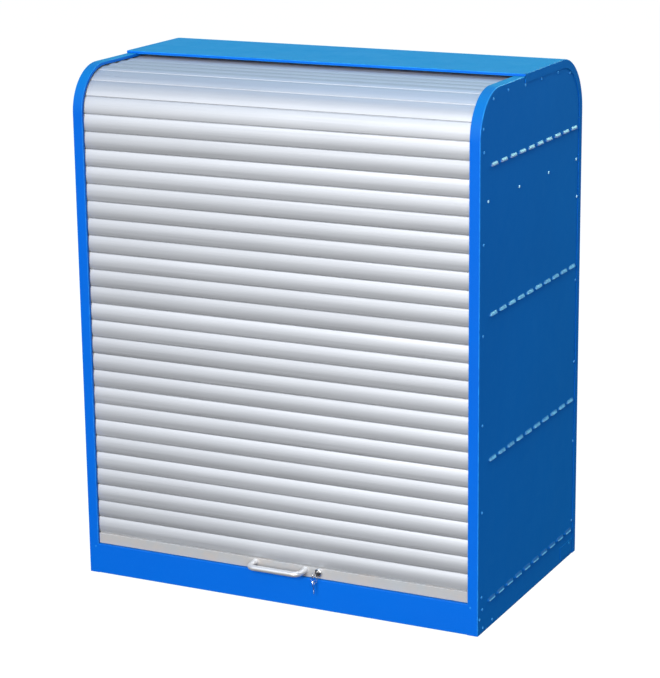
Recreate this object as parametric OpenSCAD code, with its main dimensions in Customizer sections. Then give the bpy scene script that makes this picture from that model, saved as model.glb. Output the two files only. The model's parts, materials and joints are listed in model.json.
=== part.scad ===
// Roller-shutter storage cabinet for hazardous materials.
// Sheet-steel body with rounded top edges, louvred sides, spill trays inside,
// and a slatted aluminium shutter that runs up the front, over the top bend
// and down behind an inner back panel.
// Frame: +Z up, front towards -Y, origin at the bottom centre of the bounding box.
// The geometry below is drawn with y = 0 on the front plane and shifted by y0.

/* [Body] */
// Overall width over the cover
body_w = 1000; // [800:10:1200]
// Depth of the body, front plane to back
body_d = 609; // [560:1:700]
// Overall height
body_h = 1210; // [1210:40:1410]
// Sheet thickness
sheet = 1.5; // [1.2:0.1:2]
// Radius of the side panels at the front top edge
front_r = 106; // [100:1:110]
// Outer radius of the cover at the rear top edge
rear_r = 130; // [126:1:134]
// Height of the front plinth
plinth_h = 72; // [70:1:74]
// Width of the front flange of each side panel
flange_w = 25; // [22:1:28]
// Where the top cover starts, behind the front plane
cover_y = 247; // [240:1:255]
// Width of the side returns of the cover and back
return_w = 20; // [18:1:22]

/* [Shutter] */
// Height of one slat
slat_p = 40; // [40:1:40]
// Number of slats on the straight front run
slat_n = 25; // [25:1:30]
// Distance of the slat hinge line behind the front plane
hinge_a = 13; // [12.5:0.5:13.5]
// Distance of the slat crest behind the front plane
crest_a = 8.5; // [8:0.5:9]
// Number of slats parked along the top run
top_n = 6; // [4:1:8]
// Share of the front curtain's height that is left below the bend when open
keep = 0.01; // [0.005:0.005:0.03]

/* [Handle and lock] */
// Hole spacing of the bow handle
handle_c = 128; // [96:32:160]
// Diameter of the handle bar
handle_d = 13; // [12:1:14]
// Sideways position of the handle centre
handle_x = 7.5; // [0:0.5:15]
// How far the handle stands out from the front plane
handle_out = 36; // [32:1:40]
// Height of the handle and lock axis
lock_z = 88; // [87:1:88]
// Sideways position of the lock
lock_x = 106; // [104:1:112]

/* [Vents and trays] */
// Vents in each row
vent_n = 10; // [6:1:10]
// Pitch of the vents along a row
vent_p = 53.3; // [50:0.1:54]
// Centre of the first vent behind the front plane
vent_y = 77; // [70:1:85]
// Length of one vent
vent_l = 42; // [34:1:44]
// Height of the lowest vent row
vent_z = 67; // [60:1:70]
// Pitch of the vent rows
level_p = 325.6; // [320:0.1:326]
// Depth of the spill trays
tray_h = 32; // [25:1:40]

/* [Hidden] */
$fn = 64;
e = 0.01;

hw = body_w/2;                       // half width over the cover
sx = hw - sheet;                     // outer face of a side panel
ix = sx - sheet;                     // inner face of a side panel
panel_d = body_d - sheet;            // side panel depth, inside the back
panel_h = body_h - 6;                // side panel height, under the cover
bend_z = panel_h - front_r;          // where the front bend starts
rr = rear_r - sheet;                 // side panel's rear radius
rc = [panel_d - rr, panel_h - rr];   // centre of the rear bend
y0 = -(body_d + 1.8 - handle_out)/2; // shift that centres the bounding box
rail_lo = plinth_h + 0.8;            // underside of the end rail
rail_hi = bend_z - slat_n*slat_p;    // hinge line on top of the end rail
travel = slat_n*slat_p*(1 - keep);   // shutter travel
track_f = 4;                         // track front face behind the outline
track_b = 25.5;                      // track back face behind the outline
track_x = 477;                       // mouth of the tracks
rho = front_r - hinge_a;             // bend radius of the hinge line
step = 2*asin(slat_p/2/rho);         // turn of one slat on the bend
n_arc = floor(90/step);              // slats wholly on the bend
inner_y = 572;                       // front face of the inner back panel
inner_z = 1170;                      // underside of the inner top panel
steel = [0.02, 0.32, 0.80];
alu = [0.84, 0.85, 0.87];
grey = [0.66, 0.68, 0.70];
dark = [0.12, 0.12, 0.13];

// extrude a (y, z) outline along x from xa to xb
module along_x(xa, xb) {
  translate([xa, y0, 0]) rotate([90, 0, 90]) linear_extrude(xb - xa) children();
}
// the side outline, closed at the bottom
module outline() {
  square([panel_d, rc[1]]);
  translate([0, rc[1]]) square([rc[0], bend_z - rc[1]]);
  translate([front_r, bend_z]) square([rc[0] - front_r, front_r]);
  translate([front_r, bend_z]) circle(front_r);
  translate(rc) circle(rr);
}
// Stretches of the path round the side outline. The child is a section drawn as
// (distance inside the outline, x).
module front_run(za, zb = bend_z) {
  translate([0, y0, za]) mirror([1, -1, 0]) linear_extrude(zb - za) children();
}
module front_bend() {
  translate([0, y0 + front_r, bend_z]) mirror([0, 1, 0]) rotate([90, 0, 90])
    rotate_extrude(angle = 90) translate([front_r, 0]) mirror([1, 0]) children();
}
module top_run(ya, yb) {
  translate([0, y0 + ya, panel_h]) rotate([-90, 0, 0]) mirror([1, -1, 0])
    linear_extrude(yb - ya) children();
}
module rear_bend() {
  translate([0, y0 + rc[0], rc[1]]) rotate([90, 0, 90])
    rotate_extrude(angle = 90) translate([rr, 0]) mirror([1, 0]) children();
}
module rear_run(za, zb = rc[1]) {
  translate([0, y0 + panel_d, za]) mirror([0, 1, 0]) mirror([1, -1, 0])
    linear_extrude(zb - za) children();
}
// the cover's outline, one sheet outside the side panels at the back
module cover_outline(a, zb) {
  translate([0, zb]) square([body_d - a, body_h - rear_r - zb]);
  translate([0, body_h - rear_r - e]) square([body_d - rear_r, rear_r - a + e]);
  translate([body_d - rear_r, body_h - rear_r]) circle(rear_r - a);
}
module mirror_x() { mirror([1, 0, 0]) children(); }

// ---- side panels ----
vent_r = 8;
module vent(r, y, z, out) {
  // one pressed louvre: a rounded hood, open along its lower edge
  translate([out - 4, y0 + y, z - 4]) intersection() {
    union() {
      rotate([90, 0, 0]) cylinder(r = r, h = vent_l - 14, center = true, $fn = 32);
      for (s = [-1, 1]) translate([0, s*(vent_l - 14)/2, 0]) sphere(r, $fn = 32);
    }
    translate([-r, -vent_l, 0]) cube([2*r + 1, 2*vent_l, r + 1]);
  }
}
module all_vents(r) {
  for (k = [0:3], j = [0:vent_n - 1])
    vent(r, vent_y + j*vent_p, vent_z + k*level_p, sx);
}
module side_panel() {
  difference() {
    union() {
      along_x(ix, sx) outline();
      // flange along the front, top and back, and the hemmed lip of its visible part
      front_run(plinth_h) flange_2d(true);
      front_bend() flange_2d(true);
      top_run(front_r, 300) flange_2d(true);
      top_run(300, rc[0]) flange_2d(false);
      rear_bend() flange_2d(false);
      rear_run(0) flange_2d(false);
      // foot flange
      translate([sx - flange_w, y0 + 12.2, 0])
        cube([flange_w, panel_d - 12.2, sheet]);
      intersection() {
        all_vents(vent_r);
        translate([ix, y0, 0]) cube([10, body_d, 1200]);
      }
    }
    all_vents(vent_r - 1.2);
    // room for the plinth's front
    translate([ix - 1, y0 - 1, -1]) cube([4, sheet + 1.1, plinth_h + 1]);
  }
}
module flange_2d(lip) {
  translate([0, sx - flange_w]) square([sheet, flange_w - sheet/2]);
  if (lip) translate([0, sx - flange_w]) square([7, sheet]);
}
module right_side_panel() { color(steel) side_panel(); }
module left_side_panel() { color(steel) mirror_x() side_panel(); }

// ---- front plinth, folded back over the top and under the base ----
module plinth_panel() {
  color(steel) difference() {
    along_x(-sx, sx) difference() {
      translate([0, 0]) square([38, plinth_h]);
      translate([sheet, sheet]) square([60, plinth_h - 2*sheet]);
      translate([12, -1]) square([60, 5]);
    }
    // room for the side panels
    for (s = [-1, 1]) translate([s*(sx + 13) - 15, y0 + sheet + 0.1, -1])
      cube([30, 60, plinth_h + 2]);
    // slot for the hook of the lock
    translate([lock_x - 28, y0 + 24, plinth_h - 4]) cube([24.5, 8, 8]);
    // screw holes of the strike plate
    for (x = [8, 34]) translate([lock_x + x, y0 + 29.5, plinth_h - 4])
      cylinder(r = 2.1, h = 8, $fn = 24);
  }
}

// ---- top cover and back ----
cover_lo = 1062;
module top_cover() {
  color(steel) {
    intersection() {
      union() {
        along_x(-hw, hw) difference() {
          cover_outline(0, cover_lo); cover_outline(sheet, cover_lo - 1);
        }
        for (s = [0, 1]) mirror([s, 0, 0]) along_x(sx, hw) difference() {
          cover_outline(0, cover_lo); cover_outline(return_w, cover_lo - 1);
        }
      }
      translate([-hw - 1, y0 + cover_y, cover_lo]) cube([body_w + 2, body_d, 400]);
    }
    // folded front lip, deeper between the side flanges
    translate([-hw, y0 + cover_y, body_h - 6]) cube([body_w, sheet, 6 - e]);
    translate([-track_x + 5, y0 + cover_y, body_h - 7]) cube([2*track_x - 10, sheet, 7 - e]);
    translate([-track_x + 5, y0 + cover_y, body_h - 7]) cube([2*track_x - 10, 10, sheet]);
  }
}
module back_panel() {
  color(steel) {
    along_x(-hw, hw) translate([panel_d, 0]) square([sheet, cover_lo]);
    for (s = [0, 1]) mirror([s, 0, 0]) {
      along_x(sx, hw) translate([body_d - return_w, 0]) square([return_w, cover_lo]);
    }
    // foot flange
    along_x(-sx + flange_w + 1, sx - flange_w - 1)
      translate([panel_d - 24, 0]) square([24 + e, sheet]);
  }
}

// ---- base pan: the leak-tight floor of the cabinet ----
pan_z = 20;
module pan(xh, ya, yb, z, h, t) {
  // an open tray with its floor at z and rims h high
  difference() {
    translate([-xh, y0 + ya, z]) cube([2*xh, yb - ya, h]);
    translate([-xh + t, y0 + ya + t, z + t]) cube([2*xh - 2*t, yb - ya - 2*t, h]);
  }
}
module base_pan() {
  color(grey) difference() {
    pan(ix - 0.2, 42, inner_y - 0.2, pan_z, 44, 1.2);
    // clearance for the bottom fixings
    translate([-hw, y0 + inner_y + 1, 0]) cube([body_w, 60, 100]);
  }
}

// ---- inner panels that keep the curtain and the contents apart ----
module inner_back_panel() {
  color(grey) along_x(-ix + 0.2, ix - 0.2) polygon([
    [inner_y, pan_z + 2], [inner_y + sheet, pan_z + 2], [inner_y + sheet, 1092],
    [509, inner_z + sheet], [506.7, inner_z + sheet], [506.7, inner_z], [508, inner_z], [inner_y, 1091.5]]);
}
module inner_top_panel() {
  color(grey) {
    along_x(-ix + 0.2, ix - 0.2) translate([82, inner_z]) square([506.5 - 82, sheet]);
    along_x(-ix + 0.2, ix - 0.2) translate([82, inner_z - 14]) square([sheet, 14 + e]);
  }
}

// ---- tracks: channels that the slat ends run in ----
module channel_2d() {
  // closed towards the side panel, open towards the slats
  difference() {
    translate([track_f, track_x]) square([track_b - track_f, ix - track_x]);
    translate([track_f + sheet, track_x - 1])
      square([track_b - track_f - 2*sheet, ix - track_x - sheet + 1]);
  }
}
module front_track() { front_run(plinth_h + 0.3) channel_2d(); }
module bend_track() {
  front_bend() channel_2d();
  top_run(front_r, rc[0]) channel_2d();
  rear_bend() channel_2d();
}
module rear_track() { rear_run(stop_z - 20) channel_2d(); }
module right_front_track() { color(alu) front_track(); }
module left_front_track() { color(alu) mirror_x() front_track(); }
module right_bend_track() { color(alu) bend_track(); }
module left_bend_track() { color(alu) mirror_x() bend_track(); }
module right_rear_track() { color(alu) rear_track(); }
module left_rear_track() { color(alu) mirror_x() rear_track(); }

// ---- shutter slats ----
// (y, z) section of one slat: hinge line at the origin and at [0, slat_p]
arc_s = hinge_a - crest_a - 1;               // rise of the crown
arc_r = (pow(slat_p/2, 2) + arc_s*arc_s)/(2*arc_s);
module slat_section(hooked) {
  w = 1.2;
  difference() {
    union() {
      intersection() {
        translate([crest_a - hinge_a + arc_r, slat_p/2]) circle(arc_r, $fn = 200);
        polygon([[-6, 0.4], [0.5, 0.4], [5, 2.4], [5, slat_p - 2.4],
          [0.5, slat_p - 0.4], [-6, slat_p - 0.4]]);
      }
      // tongue that reaches into the next slat
      if (hooked) {
        translate([-0.1, slat_p - 1]) square([w, 5.2]);
        translate([-0.1, slat_p + 3.2]) square([2.7, 1]);
      } else translate([0.5, slat_p - 1]) square([1, 2.4]);
    }
    intersection() {
      translate([crest_a - hinge_a + arc_r, slat_p/2]) circle(arc_r - w, $fn = 200);
      polygon([[-6, 1.6], [0.2, 1.6], [3.8, 3.3], [3.8, slat_p - 3.3],
        [0.2, slat_p - 1.6], [-6, slat_p - 1.6]]);
    }
    // slot for the tongue of the slat below
    translate([-0.6, -1]) square([2.5, 4.2]);
  }
}
slat_x = 493;
module slat(y, z, turn, hooked) {
  along_x(-slat_x, slat_x) translate([y, z]) rotate(-turn) slat_section(hooked);
}
function arc_y(t) = front_r - rho*cos(t);
function arc_z(t) = bend_z + rho*sin(t);
p3 = [arc_y(n_arc*step), arc_z(n_arc*step)];
rise3 = bend_z + rho - p3[1];
run3 = sqrt(slat_p*slat_p - rise3*rise3);
module slats_front() {
  color(alu) for (i = [0:slat_n - 1])
    slat(hinge_a, rail_hi + i*slat_p, 0, i < slat_n - 1);
}
module slats_bend() {
  color(alu) {
    for (i = [0:n_arc - 1])
      slat(arc_y(i*step), arc_z(i*step), (i + 0.5)*step, false);
    slat(p3[0], p3[1], 90 - asin(rise3/slat_p), false);
  }
}
module slats_top() {
  color(alu) for (i = [0:top_n - 1])
    slat(p3[0] + run3 + i*slat_p, bend_z + rho, 90, i < top_n - 1);
}
module tail_rail() {
  // square bar that ends the curtain and meets the stops when the shutter is shut
  y = p3[0] + run3 + top_n*slat_p;
  color(alu) along_x(-slat_x, slat_x) difference() {
    translate([y + 0.4, bend_z + rho - 5]) square([18, 9]);
    translate([y + 2, bend_z + rho - 3.4]) square([14.8, 5.8]);
    translate([y - 1, bend_z + rho - 1.9]) square([4, 3]);
  }
}

// ---- end rail with handle and lock, moving with the curtain ----
rail_y = 7;
rail_t = 14;
module end_rail() {
  color(grey) difference() {
    union() {
      along_x(-track_x + 4, track_x - 4) difference() {
        translate([rail_y, rail_lo]) square([rail_t, rail_hi - 0.4 - rail_lo]);
        translate([rail_y + 1.8, rail_lo + 5]) square([rail_t - 3.6, rail_hi - 0.4 - rail_lo - 6.8]);
        // seal groove
        translate([rail_y + 4, rail_lo - 1]) square([6, 4.5]);
      }
      along_x(-track_x + 4, track_x - 4) {
        translate([hinge_a - 0.1, rail_hi - 1]) square([1.2, 5.2]);
        translate([hinge_a - 0.1, rail_hi + 3.2]) square([2.7, 1]);
      }
    }
    translate([lock_x, y0 + rail_y - 1, lock_z]) rotate([-90, 0, 0])
      cylinder(r = 8.1, h = rail_t + 2);
    for (s = [-1, 1]) translate([handle_x + s*handle_c/2, y0 + rail_y - 1, lock_z])
      rotate([-90, 0, 0]) {
        cylinder(r = 2.7, h = rail_t + 2, $fn = 32);
        translate([0, 0, 2.8]) cylinder(r = 5, h = rail_t, $fn = 32);
      }
  }
}
module rail_seal() {
  color(dark) along_x(-track_x + 4, track_x - 4)
    translate([rail_y + 4, plinth_h + 0.3]) square([6, rail_lo + 3.5 - plinth_h - 0.3]);
}
module guide_shoes() {
  // blocks on the ends of the rail that glide in the tracks
  color(dark) for (s = [0, 1]) mirror([s, 0, 0]) {
    translate([track_x - 4, y0 + rail_y, rail_lo + 1]) cube([4, rail_t, 22]);
    translate([track_x - e, y0 + rail_y + 0.5, rail_lo + 2]) cube([16.5, rail_t - 1.5, 20]);
  }
}
hb = handle_d/2;
bend_hr = 15;
module bow_handle() {
  yo = -handle_out + hb;
  color(alu) translate([handle_x, y0, lock_z]) difference() {
    union() {
      translate([-handle_c/2 + bend_hr, yo, 0]) rotate([0, 90, 0])
        cylinder(r = hb, h = handle_c - 2*bend_hr);
      for (s = [0, 1]) mirror([s, 0, 0]) {
        translate([handle_c/2 - bend_hr, yo + bend_hr, 0]) rotate([0, 0, -90])
          rotate_extrude(angle = 90) translate([bend_hr, 0]) circle(hb);
        translate([handle_c/2, yo + bend_hr, 0]) rotate([-90, 0, 0])
          cylinder(r = hb, h = rail_y - yo - bend_hr);
      }
    }
    for (s = [-1, 1]) translate([s*handle_c/2, rail_y - 18, 0]) rotate([-90, 0, 0])
      cylinder(r = 2.5, h = 20, $fn = 32);
  }
}
module handle_screws() {
  color(grey) for (s = [-1, 1])
    translate([handle_x + s*handle_c/2, y0, lock_z]) rotate([-90, 0, 0]) {
      translate([0, 0, rail_y - 14]) cylinder(r = 2.5, h = 16, $fn = 32);
      translate([0, 0, rail_y + 1.8]) difference() {
        cylinder(r = 4.5, h = 3.2, $fn = 32);
        translate([0, 0, 1.6]) cylinder(r = 1.7, h = 3, $fn = 6);
      }
    }
}
module lock_housing() {
  color(alu) translate([lock_x, y0, lock_z]) rotate([-90, 0, 0]) difference() {
    union() {
      // bezel with a rounded edge
      translate([0, 0, rail_y - 8]) rotate_extrude($fn = 96) difference() {
        union() {
          square([7.4, 8]);
          translate([0, 2.2]) square([9.6, 5.8]);
          translate([7.4, 2.2]) circle(2.2, $fn = 48);
        }
        translate([-20, -10]) square([20, 40]);
      }
      translate([0, 0, rail_y - e]) cylinder(r = 8, h = rail_t + 3.5);
    }
    translate([0, 0, -20]) cylinder(r = 6.05, h = 80);
  }
}
module lock_nut() {
  color(grey) translate([lock_x, y0 + rail_y + rail_t, lock_z]) rotate([-90, 0, 0])
    difference() {
      cylinder(r = 11, h = 3, $fn = 6);
      translate([0, 0, -1]) cylinder(r = 8, h = 6);
    }
}
plug_f = rail_y - 8.4;                       // front face of the plug
plug_b = rail_y + rail_t + 4;                // back face of the plug
module lock_plug() {
  color(alu) translate([lock_x, y0, lock_z]) difference() {
    translate([0, plug_f, 0]) rotate([-90, 0, 0]) cylinder(r = 6, h = plug_b - plug_f);
    // keyway
    translate([-1.05, plug_f - 1, -4.1]) cube([2.1, 20, 8.2]);
    translate([0, plug_b - 8, 0]) rotate([-90, 0, 0]) cylinder(r = 2, h = 20, $fn = 32);
  }
}
module lock_cam() {
  // hook cam: its arc-shaped finger turns down through the slot and under the strike
  color(grey) translate([lock_x, y0 + plug_b + 3, lock_z]) rotate([90, 0, 0])
    linear_extrude(3) difference() {
      union() {
        circle(9);
        intersection() {
          difference() { circle(28.5); circle(23); }
          polygon([[0, 0], [60*cos(142), 60*sin(142)], [-60, 0], [60*cos(200), 60*sin(200)]]);
        }
        rotate(148) translate([0, -4]) square([24, 8]);
      }
      circle(2.1, $fn = 32);
    }
}
module cam_screw() {
  color(grey) translate([lock_x, y0 + plug_b, lock_z]) rotate([-90, 0, 0]) {
    translate([0, 0, -7]) cylinder(r = 2, h = 10 + e, $fn = 32);
    translate([0, 0, 3]) difference() {
      cylinder(r = 4, h = 2.6, $fn = 32);
      translate([0, 0, 1.2]) cylinder(r = 1.7, h = 3, $fn = 6);
    }
  }
}
// flat key in the (y, z) plane; the bow points towards -y, the hole is at the origin
module key_shape(blade) {
  difference() {
    union() {
      translate([1.5, 0]) circle(10.5);
      translate([8, -4]) square([8, 8]);
      translate([15, -3.6]) square([blade, 7.2]);
    }
    circle(3);
    // notches of the bit
    for (i = [0:2]) translate([20 + i*4, -4.6]) circle(1.5 + 0.3*(i%2), $fn = 24);
  }
}
key_y = plug_f - 16;                         // hole of the key in the lock
// rounding of a key's hole on both faces
module hole_rounding(t) {
  for (s = [0, 1]) translate([0, 0, s*t]) mirror([0, 0, s])
    translate([0, 0, -0.02]) cylinder(r1 = 3.64, r2 = 2.8, h = 0.84);
}
module key() {
  color(alu) translate([lock_x - 0.9, y0 + key_y, lock_z]) rotate([90, 0, 90])
    difference() {
      linear_extrude(1.8) key_shape(18);
      hole_rounding(1.8);
    }
}
ring_r = 8;
ring_w = 0.6;                                // half thickness of the ring's wire
ring_z = lock_z - 1.6;                       // top of the ring, resting in the hole of the key
module key_ring() {
  // split ring through the hole of the key, hanging below it
  color(alu) translate([lock_x, y0 + key_y, ring_z - ring_r]) rotate([90, 0, 0])
    rotate_extrude($fn = 96) translate([ring_r, 0]) circle(ring_w, $fn = 24);
}
module spare_key() {
  // hangs by its hole from the lowest point of the ring
  color(alu) translate([lock_x - 0.9, y0 + key_y, ring_z - 2*ring_r - 1.3])
    rotate([90, 0, 90]) difference() {
      linear_extrude(1.8) rotate(-90) scale(0.8) key_shape(18);
      scale(0.8) hole_rounding(2.25);
    }
}

// ---- strike ----
module strike_plate() {
  color(grey) difference() {
    translate([lock_x - 3, y0 + 23.5, plinth_h - sheet - 3]) cube([44, 12, 3]);
    for (x = [8, 34]) translate([lock_x + x, y0 + 29.5, plinth_h - 10])
      cylinder(r = 2.1, h = 12, $fn = 24);
  }
}
module strike_screws() {
  color(grey) for (x = [8, 34]) translate([lock_x + x, y0 + 29.5, 0]) {
    translate([0, 0, plinth_h - 4.8]) cylinder(r = 2, h = 5, $fn = 24);
    translate([0, 0, plinth_h]) cylinder(r = 3.6, h = 1.4, $fn = 24);
  }
}

// ---- trays and what carries them ----
tray_y = 42;
tray_x = 474;
tray_z1 = 318;
tray_z2 = tray_z1 + 325;
tray_z3 = 952;
module tray(z) { pan(tray_x, tray_y, inner_y - 4, z, tray_h, 1.2); }
module tray_lower() { color(grey) tray(tray_z1); }
module tray_middle() { color(grey) tray(tray_z2); }
module tray_upper() { color(grey) tray(tray_z3); }
module tray_rails() {
  // angles riveted to the sides, carrying the upper tray
  color(grey) for (s = [0, 1]) mirror([s, 0, 0]) {
    along_x(ix - sheet, ix) translate([32, tray_z3 - 14]) square([inner_y - 34, 40]);
    translate([tray_x - 22, y0 + 32, tray_z3 - 15.5 + 14])
      cube([ix - tray_x + 22 - e, inner_y - 34, sheet]);
  }
}
module uprights() {
  // four slotted channels fixed to the side panels
  color(grey) for (s = [0, 1], y = [70, 500]) mirror([s, 0, 0])
    difference() {
      translate([ix - 12, y0 + y, 72]) cube([12, 30, 860]);
      translate([ix - 12 + sheet, y0 + y + sheet, 70]) cube([12, 30 - 2*sheet, 870]);
      for (k = [0:25]) translate([ix - 14, y0 + y + 11, tray_z1 - 16 - 100 + k*25]) cube([6, 8, 13]);
    }
}
module tray_brackets() {
  // hooked brackets under the two lower trays
  color(grey) for (s = [0, 1], y = [70, 500], z = [tray_z1, tray_z2])
    mirror([s, 0, 0]) {
      translate([tray_x - 30, y0 + y + 3, z - 1.5])
        cube([ix - 12.2 - tray_x + 30, 24, sheet]);
      translate([ix - 13.7, y0 + y + 3, z - 26]) cube([sheet, 24, 25]);
      // hook through a slot of the upright
      translate([ix - 13, y0 + y + 12, z - 14]) cube([4, 6, 8]);
    }
}
// height of the tail of the curtain when the shutter is fully open
tail_y = p3[0] + run3 + top_n*slat_p + 18.4;
stop_z = rc[1] - (travel - (rc[0] - tail_y) - (rr - hinge_a)*PI/2);
module track_stops() {
  // buffers at the ends of the rear tracks that the tail rail meets
  color(dark) for (s = [0, 1]) mirror([s, 0, 0])
    translate([track_x + 1, y0 + panel_d - track_b + sheet + 0.3, stop_z - 18])
      cube([ix - sheet - track_x - 1.3, track_b - track_f - 2*sheet - 0.6, 17]);
}
module base_cross_members() {
  // two channels under the base pan, standing on the foot flanges
  color(grey) for (y = [110, 470]) along_x(-ix + 0.3, ix - 0.3) difference() {
    translate([y, sheet]) square([50, pan_z - sheet]);
    translate([y + 1.5, sheet - 1]) square([47, pan_z - 1.5 - sheet + 1]);
  }
}
module corner_plates() {
  // thin plates on the rear bottom corners of the sides
  color(steel) for (s = [0, 1]) mirror([s, 0, 0]) difference() {
    along_x(sx, sx + 0.8) translate([508, 8]) square([78, 30]);
    translate([sx - 1, y0 + 567, 32]) rotate([0, 90, 0]) cylinder(r = 3.6, h = 3, $fn = 32);
  }
}

// ---- fasteners ----
module rivet(y, z, r = 3.2) {
  // domed head on the outside of a side panel with its shank through the sheet
  translate([sx, y0 + y, z]) rotate([0, 90, 0]) {
    rotate_extrude($fn = 32) intersection() {
      translate([0, 1.3 - r*1.6]) circle(r*1.6, $fn = 48);
      square([r, 3]);
    }
  }
}
row_z = [85, 281, 479, 678, 877, 1075];
extra = [[16, 1125], [70, 1181], [153, 1188], [25, 55], [10, 36], [29, 10.5],
  [83, 11], [251, 1184.5], [348, 1184.5], [449, 1184.5], [526, 1173.5], [567, 32]];
module rivets() {
  for (z = row_z) rivet(20, z);
  for (p = extra) rivet(p[0], p[1]);
  for (z = [85, 285, 481, 679, 878]) rivet(583, z);
  for (j = [0:3]) rivet(44.8 + j*176.8, 967);
}
module right_rivets() { color(steel) rivets(); }
module left_rivets() { color(steel) mirror_x() rivets(); }
module pan_screw(r) {
  cylinder(r1 = r, r2 = r*0.72, h = 1.8, $fn = 32);
}
module back_screws() {
  color(grey) for (x = [-480, -240, 0, 240, 480], z = [40, 1048])
    translate([x, y0 + body_d, z]) rotate([-90, 0, 0]) difference() {
      pan_screw(4.5);
      translate([0, 0, 0.9]) cylinder(r = 1.9, h = 2, $fn = 6);
    }
}

left_side_panel();
right_side_panel();
plinth_panel();
top_cover();
back_panel();
base_pan();
inner_back_panel();
inner_top_panel();
left_front_track();
right_front_track();
left_bend_track();
right_bend_track();
left_rear_track();
right_rear_track();
slats_bend();
slats_top();
tail_rail();
slats_front();
end_rail();
rail_seal();
guide_shoes();
bow_handle();
handle_screws();
lock_housing();
lock_nut();
lock_plug();
lock_cam();
cam_screw();
key();
key_ring();
spare_key();
strike_plate();
strike_screws();
tray_lower();
tray_middle();
tray_upper();
tray_rails();
uprights();
tray_brackets();
track_stops();
base_cross_members();
corner_plates();
left_rivets();
right_rivets();
back_screws();
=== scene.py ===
import json
import math
import random

import bmesh
import bpy
from mathutils import Matrix, Vector
from mathutils.geometry import delaunay_2d_cdt


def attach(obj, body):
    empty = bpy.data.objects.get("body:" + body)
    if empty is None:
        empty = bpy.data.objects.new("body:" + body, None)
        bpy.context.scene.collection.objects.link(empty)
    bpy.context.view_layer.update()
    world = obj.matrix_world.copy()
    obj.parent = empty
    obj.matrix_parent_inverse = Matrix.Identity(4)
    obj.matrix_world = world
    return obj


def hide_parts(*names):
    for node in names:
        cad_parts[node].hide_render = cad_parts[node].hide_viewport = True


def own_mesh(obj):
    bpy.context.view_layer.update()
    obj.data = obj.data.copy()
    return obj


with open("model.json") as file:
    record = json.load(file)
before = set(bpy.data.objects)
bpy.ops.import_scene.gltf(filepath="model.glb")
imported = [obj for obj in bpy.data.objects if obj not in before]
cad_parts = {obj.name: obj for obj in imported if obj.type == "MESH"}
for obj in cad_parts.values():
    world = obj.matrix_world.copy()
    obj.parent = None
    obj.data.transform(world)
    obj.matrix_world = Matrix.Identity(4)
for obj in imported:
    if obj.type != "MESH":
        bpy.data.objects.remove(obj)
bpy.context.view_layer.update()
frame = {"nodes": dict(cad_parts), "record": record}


scene = bpy.context.scene
rnd = random.Random(7)

# ---------------------------------------------------------------- dimensions, in millimetres
# drawn with y = 0 on the front plane and shifted by Y0, as in the construction model
Y0 = -287.4
HW, SX, T = 500.0, 498.5, 1.5
BEND_Z, FRONT_R, TOP_Z = 1098.0, 106.0, 1204.0
RC, RR = (479.0, 1075.5), 128.5
PANEL_D, BODY_D, BODY_H = 607.5, 609.0, 1210.0
PLINTH_H = 72.0
COVER_Y, COVER_LO, LIP_Z = 247.0, 1062.0, 1203.0
HINGE, RHO, PITCH = 13.0, 93.0, 40.0
RAIL_HI = 98.0
HANDLE_X, LOCK_X, LOCK_Z = 7.5, 106.0, 88.0


def P(x, y, z):
    return (x / 1000, (y + Y0) / 1000, z / 1000)


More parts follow.
